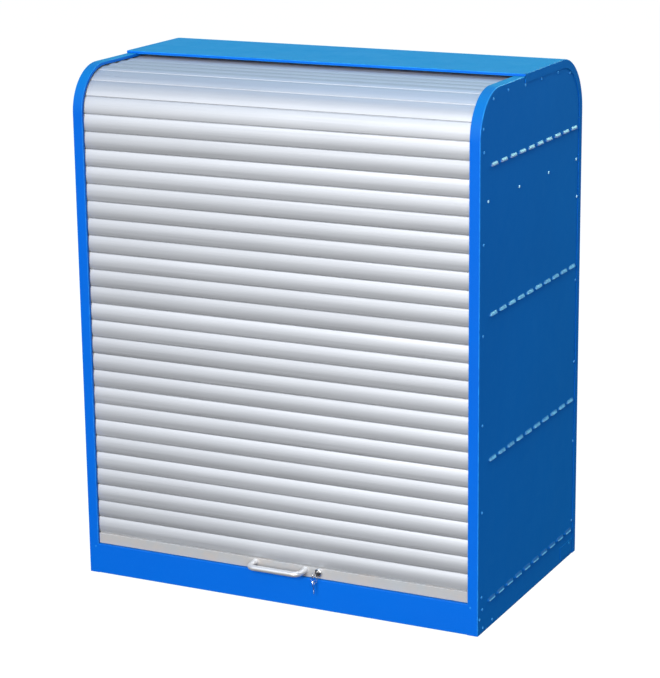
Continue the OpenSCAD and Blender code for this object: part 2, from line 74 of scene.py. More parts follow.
# ---------------------------------------------------------------- node material helpers
class Mat:
    def __init__(self, name):
        self.m = bpy.data.materials.new(name)
        self.m.use_nodes = True
        self.nt = self.m.node_tree
        self.b = self.nt.nodes["Principled BSDF"]

    def n(self, kind, **kw):
        node = self.nt.nodes.new(kind)
        for k, v in kw.items():
            setattr(node, k, v)
        return node

    def link(self, a, b):
        self.nt.links.new(a, b)

    def setb(self, **kw):
        for k, v in kw.items():
            self.b.inputs[k.replace("_", " ")].default_value = v

    def coords(self, scale=(1, 1, 1)):
        t = self.n("ShaderNodeTexCoord")
        mp = self.n("ShaderNodeMapping")
        mp.inputs["Scale"].default_value = scale
        self.link(t.outputs["Object"], mp.inputs["Vector"])
        return mp.outputs["Vector"]

    def noise(self, scale, detail=2.0, rough=0.5, coords=None, distortion=0.0):
        k = self.n("ShaderNodeTexNoise")
        k.inputs["Scale"].default_value = scale
        k.inputs["Detail"].default_value = detail
        k.inputs["Roughness"].default_value = rough
        k.inputs["Distortion"].default_value = distortion
        self.link(coords if coords is not None else self.coords(), k.inputs["Vector"])
        return k.outputs["Fac"]

    def ramp(self, fac, stops):
        r = self.n("ShaderNodeValToRGB")
        e = r.color_ramp.elements
        while len(e) < len(stops):
            e.new(0.5)
        for i, (pos, col) in enumerate(stops):
            e[i].position = pos
            e[i].color = (*col, 1) if len(col) == 3 else col
        self.link(fac, r.inputs["Fac"])
        return r.outputs["Color"]

    def remap(self, fac, a, b, c, d):
        r = self.n("ShaderNodeMapRange")
        r.inputs["From Min"].default_value = a
        r.inputs["From Max"].default_value = b
        r.inputs["To Min"].default_value = c
        r.inputs["To Max"].default_value = d
        self.link(fac, r.inputs["Value"])
        return r.outputs["Result"]

    def math(self, op, a, b=None):
        k = self.n("ShaderNodeMath", operation=op)
        for i, v in enumerate((a, b)):
            if v is None:
                continue
            if isinstance(v, (int, float)):
                k.inputs[i].default_value = v
            else:
                self.link(v, k.inputs[i])
        return k.outputs[0]

    def mix(self, fac, a, b, blend="MIX"):
        k = self.n("ShaderNodeMix", data_type="RGBA", blend_type=blend)
        for name, v in (("Factor", fac), ("A", a), ("B", b)):
            sock = [s for s in k.inputs if s.name == name and s.type in ("RGBA", "VALUE") and s.enabled]
            s = sock[0]
            if isinstance(v, (int, float)):
                s.default_value = v
            elif isinstance(v, tuple):
                s.default_value = (*v, 1)
            else:
                self.link(v, s)
        return [o for o in k.outputs if o.enabled][0]

    def bump(self, height, dist, strength=1.0, under=None):
        k = self.n("ShaderNodeBump")
        k.inputs["Distance"].default_value = dist
        k.inputs["Strength"].default_value = strength
        self.link(height, k.inputs["Height"])
        if under is not None:
            self.link(under, k.inputs["Normal"])
        return k.outputs["Normal"]

    def attr(self, name):
        k = self.n("ShaderNodeAttribute", attribute_name=name)
        return k.outputs["Fac"]


def paint(name, base, deep, light, rough, peel=1.0, sheen=0.0, sheen_tint=(1, 1, 1), spec=0.5, painted_shading_facing_up=None,
          painted_highlight_col=None):
    """Powder coat: orange peel, faint tone drift, thinner and glossier film on the folds, painted highlight on louvre
    crowns and rivet heads, and painted light on faces that point up (painted shade where that colour is darker).
    """
    m = Mat(name)
    drift = m.noise(2.1, 3.0, 0.55)
    fleck = m.noise(420.0, 2.0, 0.6)
    col = m.mix(m.remap(drift, 0.3, 0.7, 0.0, 1.0), deep, base)
    # painted light: faces that point up get a lighter, more cyan colour, as if lit from above; a high per-vertex shade
    # value takes it off
    if painted_shading_facing_up is not None:
        nz = m.n("ShaderNodeSeparateXYZ")
        m.link(m.n("ShaderNodeNewGeometry").outputs["Normal"], nz.inputs[0])
        up = m.math("MULTIPLY", m.remap(nz.outputs["Z"], 0.0, 0.8, 0.0, 0.92), m.remap(drift, 0.2, 0.8, 0.9, 1.1))
        up = m.math("MULTIPLY", up, m.remap(m.attr("grime"), 0.0, 1.0, 1.0, 0.0))
        col = m.mix(up, col, painted_shading_facing_up)
    col = m.mix(m.remap(fleck, 0.62, 0.8, 0.0, 0.12), col, light)
    # lighter film on the folds where it wears thin; on louvre crowns and rivet heads the same lightening is painted
    # highlight
    wear = m.attr("wear")
    patchy = m.noise(60.0, 3.0, 0.6)
    edge = m.math("MULTIPLY", wear, m.remap(patchy, 0.3, 0.7, 0.25, 1.0))
    col = m.mix(m.math("MULTIPLY", edge, 0.55), col, light)
    # painted highlight: a lighter colour on louvre crowns and rivet heads, set by a per-vertex value
    if painted_highlight_col is not None:
        col = m.mix(m.math("MULTIPLY", m.attr("rub"), m.remap(patchy, 0.3, 0.7, 0.8, 1.0)), col, painted_highlight_col)
    m.link(col, m.b.inputs["Base Color"])
    scuff = m.noise(14.0, 5.0, 0.62)
    r = m.remap(scuff, 0.35, 0.75, rough - 0.035, rough + 0.06)
    r = m.math("SUBTRACT", r, m.math("MULTIPLY", edge, 0.20))
    m.link(r, m.b.inputs["Roughness"])
    fine = m.noise(700.0, 2.0, 0.5)
    wave = m.noise(230.0, 1.0, 0.4)
    nrm = m.bump(wave, 0.00010 * peel, 0.55)
    nrm = m.bump(fine, 0.00005 * peel, 0.6, nrm)
    m.link(nrm, m.b.inputs["Normal"])
    m.setb(Metallic=0.0, IOR=1.52)
    if sheen:
        m.b.inputs["Sheen Weight"].default_value = sheen
        m.b.inputs["Sheen Roughness"].default_value = 0.42
        m.b.inputs["Sheen Tint"].default_value = (*sheen_tint, 1)
    m.b.inputs["Specular IOR Level"].default_value = spec
    return m.m


def metal(name, base, dark, rough, metallic=1.0, along="x", streak=1.0, tone=True, aniso=0.0, mottle=0.0,
          mottle_cols=None):
    """Extruded or brushed metal: streaks along one axis, tone drift, handling marks, and painted shade where the mesh's
    per-vertex shade value is set.
    """
    m = Mat(name)
    s = {"x": (3.0, 900.0, 900.0), "y": (900.0, 3.0, 900.0), "z": (900.0, 900.0, 3.0),
         "none": (300.0, 300.0, 300.0)}[along]
    line = m.noise(1.0, 2.0, 0.65, m.coords(s))
    s2 = tuple(0.18 * c if c > 10 else 0.6 * c for c in s)
    broad = m.noise(1.0, 3.0, 0.6, m.coords(s2))
    cloud = m.noise(5.0, 4.0, 0.6)
    col = m.mix(m.remap(line, 0.3, 0.7, 0.0, 0.55 * streak), base, dark)
    col = m.mix(m.remap(cloud, 0.35, 0.75, 0.0, 0.35), col, dark)
    if tone:
        t = m.attr("tone")
        k = m.remap(t, 0.0, 1.0, 0.92, 1.06)
        mul = m.n("ShaderNodeVectorMath", operation="SCALE")
        m.link(col, mul.inputs[0])
        m.link(k, mul.inputs["Scale"])
        col = mul.outputs[0]
    if mottle:
        spot = m.noise(38.0, 4.0, 0.65)
        spot2 = m.noise(17.0, 3.0, 0.6)
        col = m.mix(m.remap(spot, 0.42, 0.66, 0.0, mottle), col, mottle_cols[0])
        col = m.mix(m.remap(spot2, 0.45, 0.7, 0.0, mottle), col, mottle_cols[1])
    # painted shade: darker where the per-vertex shade value is set, at slat joints, behind the top slats' crowns and on
    # the rail's tongue
    grime = m.attr("grime")
    col = m.mix(m.math("MULTIPLY", grime, 0.6), col, tuple(c * 0.35 for c in dark))
    m.link(col, m.b.inputs["Base Color"])
    r = m.remap(broad, 0.3, 0.7, rough - 0.05, rough + 0.07)
    m.link(r, m.b.inputs["Roughness"])
    nrm = m.bump(line, 0.000035 * streak, 0.5)
    nrm = m.bump(m.noise(9.0, 2.0, 0.5, m.coords((0.5, 4, 4) if along == "x" else (3, 3, 3))), 0.0004, 0.25, nrm)
    m.link(nrm, m.b.inputs["Normal"])
    m.setb(Metallic=metallic)
    if aniso:
        m.b.inputs["Anisotropic"].default_value = aniso
    return m.m


def rubber(name, base, rough):
    m = Mat(name)
    g = m.noise(1600.0, 2.0, 0.6)
    d = m.noise(35.0, 4.0, 0.6)
    col = m.mix(m.remap(d, 0.35, 0.75, 0.0, 0.6), base, tuple(c * 2.6 + 0.01 for c in base))
    m.link(col, m.b.inputs["Base Color"])
    m.link(m.remap(d, 0.3, 0.7, rough - 0.08, rough + 0.08), m.b.inputs["Roughness"])
    m.link(m.bump(g, 0.00008, 0.7), m.b.inputs["Normal"])
    return m.m


BLUE = paint("powder_coat_blue", (0.0, 0.101, 0.492), (0.0, 0.091, 0.460), (0.050, 0.420, 0.840), 0.50,
             sheen=0.12, sheen_tint=(0.03, 1.0, 0.80), spec=0.09, painted_shading_facing_up=(0.003, 0.136, 0.383))
# rivet heads: glossier paint, lighter than the sheet; the lighter colours are painted highlight, strong in the bright
# coat and weaker in the dim one
RIVET = paint("powder_coat_rivet", (0.025, 0.330, 0.740), (0.015, 0.290, 0.700), (0.150, 0.600, 0.880), 0.32,
              spec=0.6, painted_shading_facing_up=(0.200, 0.680, 0.900), painted_highlight_col=(0.50, 0.80, 0.92))
DULL = paint("powder_coat_rivet_dull", (0.0, 0.165, 0.560), (0.0, 0.150, 0.530), (0.080, 0.480, 0.860), 0.42,
             spec=0.22, painted_shading_facing_up=(0.020, 0.240, 0.540), painted_highlight_col=(0.50, 0.80, 0.92))
# louvre hoods: glossier coat; its lighter colours are painted highlight on the crowns, and its darker colour for faces
# that point up is painted shade
CROWN = paint("powder_coat_louvre", (0.0, 0.125, 0.530), (0.0, 0.115, 0.500), (0.250, 0.730, 0.980), 0.31,
              spec=0.20, painted_shading_facing_up=(0.020, 0.110, 0.230), painted_highlight_col=(0.50, 0.47, 0.52))
GREY = paint("powder_coat_grey", (0.52, 0.54, 0.56), (0.47, 0.49, 0.51), (0.70, 0.72, 0.74), 0.42)
SLAT = metal("anodised_slat", (0.565, 0.577, 0.595), (0.505, 0.517, 0.540), 0.63, metallic=0.85, along="x")
RAIL = metal("anodised_rail", (0.455, 0.450, 0.440), (0.40, 0.398, 0.402), 0.48, metallic=0.35, along="x", streak=0.7,
             mottle=0.5, mottle_cols=((0.50, 0.44, 0.39), (0.40, 0.44, 0.47)))
TRACK = metal("mill_aluminium", (0.66, 0.67, 0.68), (0.52, 0.53, 0.54), 0.42, metallic=0.9, along="z", tone=False)
HANDLE = metal("satin_aluminium", (0.77, 0.765, 0.755), (0.68, 0.68, 0.68), 0.34, metallic=0.68, along="x", streak=0.6,
               tone=False)
CHROME = metal("lock_chrome", (0.86, 0.85, 0.84), (0.78, 0.77, 0.76), 0.12, metallic=1.0, along="none", streak=0.15,
               tone=False)
KEYM = metal("nickel_key", (0.80, 0.79, 0.76), (0.66, 0.65, 0.62), 0.22, metallic=1.0, along="z", streak=0.6, tone=False)
ZINC = metal("zinc_plated_steel", (0.62, 0.63, 0.65), (0.48, 0.49, 0.52), 0.32, metallic=0.95, along="none", streak=0.8,
             tone=False)
RUBBER = rubber("black_rubber", (0.018, 0.018, 0.019), 0.62)
PLASTIC = rubber("black_plastic", (0.022, 0.022, 0.025), 0.42)
SLOTS = {"blue_paint": BLUE, "grey_paint": GREY, "slat_aluminium": SLAT, "rail_aluminium": RAIL,
         "track_aluminium": TRACK, "handle_aluminium": HANDLE, "lock_chrome": CHROME, "key_steel": KEYM,
         "zinc_steel": ZINC, "black_rubber": RUBBER, "black_plastic": PLASTIC}

# every CAD node takes its slot's finish; most of the visible ones are replaced by detailed pieces below
for sub in frame["record"]["subparts"]:
    node = frame["nodes"].get(sub["node"])
    if node is not None:
        node.data.materials.clear()
        node.data.materials.append(SLOTS[sub["material_slot"]])


# ---------------------------------------------------------------- mesh helpers
def fillet(pts, radii, n=6, closed=False):
    """Rounds the corners of a 2D polyline. Returns [(x, y, wear)]."""
    out = []
    m = len(pts)
    for i in range(m):
        r = radii[i]
        if (not closed and i in (0, m - 1)) or r <= 0:
            out.append((pts[i][0], pts[i][1], 0.0))
            continue
        p = Vector(pts[i]); a = Vector(pts[i - 1]); b = Vector(pts[(i + 1) % m])
        u = (a - p).normalized(); v = (b - p).normalized()
        ang = math.acos(max(-1, min(1, u.dot(v))))
        if ang > math.pi - 1e-3:
            out.append((p.x, p.y, 0.0))
            continue
        t = r / math.tan(ang / 2)
        c = p + (u + v).normalized() * (r / math.sin(ang / 2))
        s, e = p + u * t - c, p + v * t - c
        a0, a1 = math.atan2(s.y, s.x), math.atan2(e.y, e.x)
        d = (a1 - a0 + math.pi) % (2 * math.pi) - math.pi
        for k in range(n + 1):
            w = math.sin(math.pi * k / n)
            th = a0 + d * k / n
            out.append((c.x + r * math.cos(th), c.y + r * math.sin(th), w))
    return out


class Build:
    """Collects vertices and faces of one piece, in millimetres, with per-vertex attributes."""

    def __init__(self):
        self.v, self.f, self.wear, self.tone, self.grime, self.rub = [], [], [], [], [], []

    def add(self, x, y, z, wear=0.0, tone=0.5, grime=0.0, rub=0.0):
        self.v.append(P(x, y, z))
        self.wear.append(wear)
        self.tone.append(tone)
        self.grime.append(grime)
        self.rub.append(rub)
        return len(self.v) - 1

    def grid(self, rows, closed=False, caps=False):
        """rows of vertex indices; closed joins each row's last vertex to its first."""
        for a, b in zip(rows, rows[1:]):
            m = len(a)
            for i in range(m if closed else m - 1):
                j = (i + 1) % m
                self.f.append((a[i], a[j], b[j], b[i]))
        if caps:
            self.f.append(tuple(reversed(rows[0])))
            self.f.append(tuple(rows[-1]))

    def finish(self, name, body, slot, replaces=(), solid=0.0, merge=True, angle=32, outward=None, mirror=False,
               recalc=True, weighted=True):
        me = bpy.data.meshes.new(name)
        v = [(-x, y, z) for x, y, z in self.v] if mirror else self.v
        me.from_pydata(v, [], self.f)
        for key, vals in (("wear", self.wear), ("tone", self.tone), ("grime", self.grime), ("rub", self.rub)):
            at = me.attributes.new(key, "FLOAT", "POINT")
            at.data.foreach_set("value", vals)
        bm = bmesh.new()
        bm.from_mesh(me)
        if merge:
            bmesh.ops.remove_doubles(bm, verts=bm.verts, dist=2e-6)
        bmesh.ops.dissolve_degenerate(bm, edges=bm.edges, dist=1e-7)
        if recalc:
            bmesh.ops.recalc_face_normals(bm, faces=bm.faces)
        if outward is not None:
            # outward = (point near the surface, direction its normal should have)
            pt, d = Vector(outward[0]), Vector(outward[1])
            if mirror:
                pt.x, d.x = -pt.x, -d.x
            best = min(bm.faces, key=lambda f: (f.calc_center_median() - pt).length)
            if best.normal.dot(d) < 0:
                bmesh.ops.reverse_faces(bm, faces=bm.faces)
        bm.to_mesh(me)
        bm.free()
        ob = bpy.data.objects.new(name, me)
        scene.collection.objects.link(ob)
        if solid:
            md = ob.modifiers.new("sheet", "SOLIDIFY")
            md.thickness = solid / 1000
            md.offset = -1.0
            md.use_even_offset = True
            md.use_quality_normals = True
        me = apply(ob)
        me.shade_smooth()
        me.set_sharp_from_angle(angle=math.radians(angle))
        if weighted:
            wn = ob.modifiers.new("weighted", "WEIGHTED_NORMAL")
            wn.keep_sharp = True
            apply(ob)
        ob.data.materials.clear()
        ob.data.materials.append(SLOTS[slot])
        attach(ob, body)
        if replaces:
            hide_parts(*replaces)
        return ob


def apply(ob):
    if ob.modifiers:
        bpy.context.view_layer.update()
        dg = bpy.context.evaluated_depsgraph_get()
        me = bpy.data.meshes.new_from_object(ob.evaluated_get(dg), preserve_all_data_layers=True, depsgraph=dg)
        ob.modifiers.clear()
        ob.data = me
    return ob.data


def arc_path(c, r, a0, a1, n):
    """points on an arc in the (y, z) plane with their inward normals, angles in degrees from +y towards +z"""
    out = []
    for k in range(n + 1):
        a = math.radians(a0 + (a1 - a0) * k / n)
        out.append((c[0] + r * math.cos(a), c[1] + r * math.sin(a), -math.cos(a), -math.sin(a)))
    return out


def side_path(z_start, z_end=0.0, n=36):
    p = [(0.0, z_start, 1.0, 0.0), (0.0, 0.5 * (z_start + BEND_Z), 1.0, 0.0)]
    p += arc_path((FRONT_R, BEND_Z), FRONT_R, 180, 90, n)
    p += [(210.0, TOP_Z, 0.0, -1.0), (340.0, TOP_Z, 0.0, -1.0)]
    p += arc_path(RC, RR, 90, 0, n)
    p += [(PANEL_D, 500.0, -1.0, 0.0), (PANEL_D, z_end, -1.0, 0.0)]
    return p


# ---------------------------------------------------------------- side panels with pressed louvres
VENT_N, VENT_P, VENT_Y, VENT_L = 10, 53.3, 77.0, 42.0
VENT_ROWS = [67.0 + 325.6 * k for k in range(4)]
US = [-22.0, -19.6, -18.6, -17.9, -17.2, -16.3, -15.2, -13.8, -12.2, -10.5, -7.0, -2.5]
US = [1.16 * u for u in US + [-v for v in reversed(US)]]
WS = [0.0, 0.7, 1.5, 2.4, 3.3, 4.2, 5.0, 5.7, 6.3, 6.9, 7.5, 8.3, 10.0]
VENT_R, VENT_HALF = 8.0, (VENT_L - 14) / 2
# painted highlight on the hoods, per row from the lowest to the highest: its strength in the edge lightening, its share
# of the highlight colour, and the crown height where it begins
HOOD_HIGHLIGHT_STRENGTH, HOOD_PAINTED_HIGHLIGHT, CREST = (2.00, 1.35, 1.50, 0.15), (0.05, 0.09, 0.13, 0.33), (0.68, 0.45, 0.32, 0.26)
# painted highlight on the front end of each hood
TIP_HIGHLIGHT = (0.18, 0.08, 0.0, 0.0)


def hood(u, w):
    """height of a louvre over the sheet; w is measured up from its open lower edge"""
    r = math.hypot(max(abs(u) - VENT_HALF, 0.0), w)
    if r >= 8.4:
        return 0.0
    h = 4.1 * (1 - (r / 7.0) ** 1.5)
    # round where the hood leaves the sheet, faded out at the rim
    fade = min(1.0, max(0.0, (8.4 - r) / 1.5))
    return 0.5 * (h + math.sqrt(h * h + 0.81)) * fade * fade * (3 - 2 * fade)


def side_panel(mirror):
    b = Build()
    sec = fillet([(473.5, 7.0), (473.5, 0.0), (SX, 0.0), (SX, 2.4)], [0, 1.2, 2.4, 0], n=7)
    path = side_path(PLINTH_H + 0.15)
    rows = []
    for (y, z, ny, nz) in path:
        rows.append([b.add(x, y + ny * d, z + nz * d, wear=w * 0.8) for x, d, w in sec])
    b.grid(rows)
    # flat plate: boundary is the end of the fold, then the foot and the plinth's corner
    ring = [(y + ny * 2.4, z + nz * 2.4) for (y, z, ny, nz) in path]
    ring += [(PANEL_D - 2.4, 0.0), (2.4, 0.0), (2.4, PLINTH_H + 0.15)]
    pts, seen = [], set()
    for q in ring:
        key = (round(q[0], 4), round(q[1], 4))
        if key not in seen:
            seen.add(key)
            pts.append(Vector(q))
    edges = [(i, (i + 1) % len(pts)) for i in range(len(pts))]
    cells = []
    for zr in VENT_ROWS:
        for j in range(VENT_N):
            yc = VENT_Y + j * VENT_P
            lo, hi = zr - 4 - 3.0, zr - 4 + WS[-1]
            cells.append((yc, zr - 4.0))
            wl = [-3.0] + WS
            loop = [(yc + u, lo) for u in US] + [(yc + US[-1], zr - 4 + w) for w in wl[1:]]
            loop += [(yc + u, hi) for u in reversed(US[:-1])]
            loop += [(yc + US[0], zr - 4 + w) for w in reversed(wl[1:-1])]
            s = len(pts)
            pts += [Vector(q) for q in loop]
            m = len(loop)
            edges += [(s + i, s + (i + 1) % m) for i in range(m)]
    vs, _, fs, *_ = delaunay_2d_cdt(pts, edges, [], 1, 1e-6)
    idx = [b.add(SX, q.x, q.y) for q in vs]
    for f in fs:
        cy = sum(vs[i].x for i in f) / len(f)
        cz = sum(vs[i].y for i in f) / len(f)
        inside = any(abs(cy - c[0]) < US[-1] and -3.0 < cz - c[1] < WS[-1] for c in cells)
        if not inside:
            b.f.append(tuple(idx[i] for i in f))
    # louvres: the row at the open edge is doubled, one on the sheet and one on the hood
    for yc, z0 in cells:
        jit = rnd.uniform(-0.12, 0.12)
        low = [[b.add(SX, yc + u, z0 + w) for u in US] for w in (-3.0, 0.0)]
        b.grid(low)
        up = []
        row_i = min(range(4), key=lambda k: abs(VENT_ROWS[k] - 4.0 - z0))
        for w in WS:
            row = []
            for u in US:
                edge = abs(u) >= 22.0 or w >= WS[-1]
                h = 0.0 if edge else hood(u, w) * (1 + 0.03 * jit)
                if w == 0.0 and h < 0.02:
                    row.append(low[1][len(row)])
                else:
                    # painted highlight on the upper part of each hood, above the row's start height
                    crest = min(1.0, max(0.0, (h / 4.1 - CREST[row_i]) / 0.30))
                    row.append(b.add(SX + h, yc + u, z0 + w,
                                     wear=HOOD_HIGHLIGHT_STRENGTH[row_i] * (crest if row_i == 0 else min(1.0, h / 2.6)),
                                     rub=(HOOD_PAINTED_HIGHLIGHT[row_i] + TIP_HIGHLIGHT[row_i] * math.exp(-((u + 15) / 4.5) ** 2))
                                     * crest * crest * (3 - 2 * crest)))
            up.append(row)
        b.grid(up)
    # foot flange under the panel
    f0 = b.add(SX - 25, 3.0, 0.75); f1 = b.add(SX, 3.0, 0.75)
    f2 = b.add(SX, PANEL_D - 3, 0.75); f3 = b.add(SX - 25, PANEL_D - 3, 0.75)
    b.f.append((f0, f1, f2, f3))
    side = "left" if mirror else "right"
    ob = b.finish(f"{side}_side_panel_sheet", "cabinet", "blue_paint", (f"{side}_side_panel",), solid=T,
                  outward=(P(SX, 300, 500), (1, 0, 0)), mirror=mirror)
    # the hoods take the glossier louvre coat, with its painted highlight and painted shade
    ob.data.materials.append(CROWN)
    for p in ob.data.polygons:
        if abs(p.center.x) > (SX + 0.15) / 1000:
            p.material_index = 1
    return ob


right_panel = side_panel(False)
left_panel = side_panel(True)


# ---------------------------------------------------------------- plinth
def closed_sheet(pts, radii, t, n=6):
    """closed section of a folded sheet: its outer face along pts, its other face t to the left of the direction"""
    line = fillet(pts, radii, n=n)
    m = len(line)
    inner = []
    for i in range(m):
        a = Vector(line[max(i - 1, 0)][:2]); c = Vector(line[min(i + 1, m - 1)][:2])
        d = (c - a).normalized()
        nrm = Vector((-d.y, d.x))
        inner.append((line[i][0] + nrm.x * t, line[i][1] + nrm.y * t, line[i][2] * 0.4))
    return line + inner[::-1]


def extrude_x(b, sec, xs, **kw):
    """closed (y, z) section drawn out along x"""
    rows = [[b.add(x, y, z, wear=w, **kw) for y, z, w in sec] for x in xs]
    b.grid(rows, closed=True, caps=True)


def split_level(sec, cuts):
    """adds points to a closed section where its level top stretches pass the given depths"""
    out = []
    for (y, z, w), (y2, z2, _) in zip(sec, sec[1:] + sec[:1]):
        out.append((y, z, w))
        if abs(z2 - z) < 0.05 and z > PLINTH_H - 2:
            for c in sorted(cuts, reverse=y2 < y):
                if min(y, y2) + 0.01 < c < max(y, y2) - 0.01:
                    out.append((c, z + (z2 - z) * (c - y) / (y2 - y), 0.0))
    return out


def plinth():
    b = Build()
    # middle part: foot fold, front face, rounded top fold and its return
    sec = closed_sheet([(12.0, 0.0), (0.0, 0.0), (0.0, PLINTH_H), (38.0, PLINTH_H), (38.0, PLINTH_H - 6)],
                       [0, 2.0, 2.2, 2.0, 0], -1.5)
    sec = [(y, z, 0.0 if z > PLINTH_H - 3 else w) for y, z, w in sec]
    # slot in the top fold for the hook of the lock
    xa, xb, ya, yb = LOCK_X - 28.0, LOCK_X - 3.5, 24.0, 32.0
    sec = split_level(sec, (ya, yb))
    # a high shade value on the middle part keeps most of the painted top light off its top fold
    rows = [[b.add(x, y, z, wear=w, grime=0.9) for y, z, w in sec] for x in (-473.5, -300, -100, xa, xb, 300, 473.5)]
    m = len(sec)
    gap = [i for i in range(m) if all(ya - 0.01 < q[0] < yb + 0.01 and q[1] > PLINTH_H - 2
                                      for q in (sec[i], sec[(i + 1) % m]))]
    for k, (r0, r1) in enumerate(zip(rows, rows[1:])):
        for i in range(m):
            j = (i + 1) % m
            if k != 3 or i not in gap:
                b.f.append((r0[i], r0[j], r1[j], r1[i]))
    b.f.append(tuple(reversed(rows[0])))
    b.f.append(tuple(rows[-1]))
    o, u = gap              # stretch on the upper face, stretch on the lower face, run the other way round
    oj, uj = (o + 1) % m, (u + 1) % m
    for r in (rows[3], rows[4]):
        b.f.append((r[o], r[oj], r[u], r[uj]))
    b.f.append((rows[3][o], rows[4][o], rows[4][uj], rows[3][uj]))
    b.f.append((rows[3][oj], rows[4][oj], rows[4][u], rows[3][u]))
    # ends, flush with the flanges above them; their outer corners are rounded towards the sides
    for s in (-1, 1):
        corner = closed_sheet([(s * 473.5, 0.0), (s * SX, 0.0), (s * SX, 2.4)], [0, 2.4, 0], 1.5 * s, n=7)
        rows = [[b.add(x, y, z, wear=w * 0.8) for x, y, w in corner] for z in (0.0, 36.0, PLINTH_H + 0.15)]
        b.grid(rows, closed=True, caps=True)
        # painted-over rivets that join the plinth to the flanges
        dome(b, (s * 480.5, 0.0, 65.0), (0, -1, 0), 2.6, 0.8)
    return b.finish("plinth_front_sheet", "cabinet", "blue_paint", ("plinth_panel",))


def dome(b, c, axis, r, h, dimple=0.0, seg=20, rings=5, rub=0.0):
    """a rivet head: a low dome with its rim on the surface; c in front-frame millimetres"""
    ax = Vector(axis).normalized()
    u = ax.orthogonal().normalized()
    v = ax.cross(u)
    prof = [(r, -0.3), (r, 0.0)]
    for k in range(1, rings + 1):
        a = math.pi / 2 * k / rings
        prof.append((r * math.cos(a) if k < rings else 0.0, h * math.sin(a)))
    if dimple:
        prof = [q for q in prof if q[0] > dimple * 1.25]
        prof += [(dimple * 1.2, h * 0.96), (dimple, h * 0.92), (dimple * 0.8, h * 0.80), (0.0, h * 0.78)]
    rows = []
    for rad, hh in prof:
        # the head gets lighter towards its top: partly wear, partly painted highlight
        w = min(1.0, max(0.0, hh / h)) * 0.9
        if rad < 1e-6:
            q = Vector(c) + ax * hh
            i = b.add(q.x, q.y, q.z, wear=w, rub=rub)
            rows.append([i] * seg)
        else:
            row = []
            for k in range(seg):
                a = 2 * math.pi * k / seg
                q = Vector(c) + ax * hh + u * (rad * math.cos(a)) + v * (rad * math.sin(a))
                row.append(b.add(q.x, q.y, q.z, wear=w, rub=rub))
            rows.append(row)
    for a, c2 in zip(rows, rows[1:]):
        for k in range(seg):
            j = (k + 1) % seg
            if c2[k] == c2[j]:
                b.f.append((a[k], a[j], c2[k]))
            else:
                b.f.append((a[k], a[j], c2[j], c2[k]))
    b.f.append(tuple(reversed(rows[0])))


plinth_piece = plinth()


# ---------------------------------------------------------------- top cover and back panel
def cover():
    b = Build()
    half = fillet([(HW, 20.0), (HW, 0.0), (0.0, 0.0)], [0, 2.2, 0], n=7)
    sec = half[:-1] + [(250.0, 0.0, 0.0), (0.0, 0.0, 0.0), (-250.0, 0.0, 0.0)] + \
        [(-x, d, w) for x, d, w in reversed(half[:-1])]
    c = (BODY_D - 130.0, BODY_H - 130.0)
    path = [(COVER_Y + 2.2, BODY_H, 0.0, -1.0), (360.0, BODY_H, 0.0, -1.0)] + arc_path(c, 130.0, 90, 0, 40)
    path += [(BODY_D, COVER_LO + 0.4, -1.0, 0.0)]
    rows = [[b.add(x, y + ny * d, z + nz * d, wear=w * 0.15) for x, d, w in sec] for (y, z, ny, nz) in path]
    b.grid(rows)
    # front lip, deeper between the side flanges
    lip = fillet([(COVER_Y + 10, LIP_Z), (COVER_Y, LIP_Z), (COVER_Y, BODY_H), (COVER_Y + 2.2, BODY_H)],
                 [0, 1.6, 2.2, 0], n=6)
    rows = [[b.add(x, y, z, wear=w * 0.8) for y, z, w in lip] for x in (-471.5, -200.0, 0.0, 200.0, 471.5)]
    b.grid(rows)
    ear = fillet([(COVER_Y, BODY_H - 5.6), (COVER_Y, BODY_H), (COVER_Y + 2.2, BODY_H)], [0, 2.2, 0], n=6)
    for s in (-1, 1):
        rows = [[b.add(x, y, z, wear=w * 0.8) for y, z, w in ear] for x in (s * 471.5, s * 497.8)]
        b.grid(rows)
        # small rounded corner where the lip meets the side return
        rows = []
        for k in range(6):
            a = math.pi / 2 * k / 5
            dx, dd = 2.2 * math.sin(a), 2.2 * (1 - math.cos(a))
            rows.append([b.add(s * (497.8 + dx), max(y, COVER_Y + dd * (1 if z > BODY_H - 2.3 else 1)), z - dd * (1 if z > BODY_H - 2.3 else 0))
                         for y, z, w in ear])
        b.grid(rows)
    return b.finish("top_cover_sheet", "cabinet", "blue_paint", ("top_cover",), solid=T,
                    outward=(P(0, 360, BODY_H), (0, 0, 1)))


def back():
    b = Build()
    half = fillet([(HW, 20.0), (HW, 0.0), (0.0, 0.0)], [0, 2.2, 0], n=7)
    sec = half[:-1] + [(300.0, 0.0, 0.0), (0.0, 0.0, 0.0), (-300.0, 0.0, 0.0)] + \
        [(-x, d, w) for x, d, w in reversed(half[:-1])]
    rows = [[b.add(x, BODY_D - d, z, wear=w * 0.8) for x, d, w in sec] for z in (0.0, 350.0, 700.0, COVER_LO - 0.5)]
    b.grid(rows)
    return b.finish("back_panel_sheet", "cabinet", "blue_paint", ("back_panel",), solid=T,
                    outward=(P(0, BODY_D, 500), (0, 1, 0)))


cover_piece = cover()
back_piece = back()


# ---------------------------------------------------------------- rivets
ROW_Z = [85, 281, 479, 678, 877, 1075]
EXTRA = [(16, 1125), (70, 1181), (153, 1188), (25, 55), (10, 36), (29, 10.5), (83, 11), (251, 1184.5),
         (348, 1184.5), (449, 1184.5), (526, 1173.5), (567, 32)]


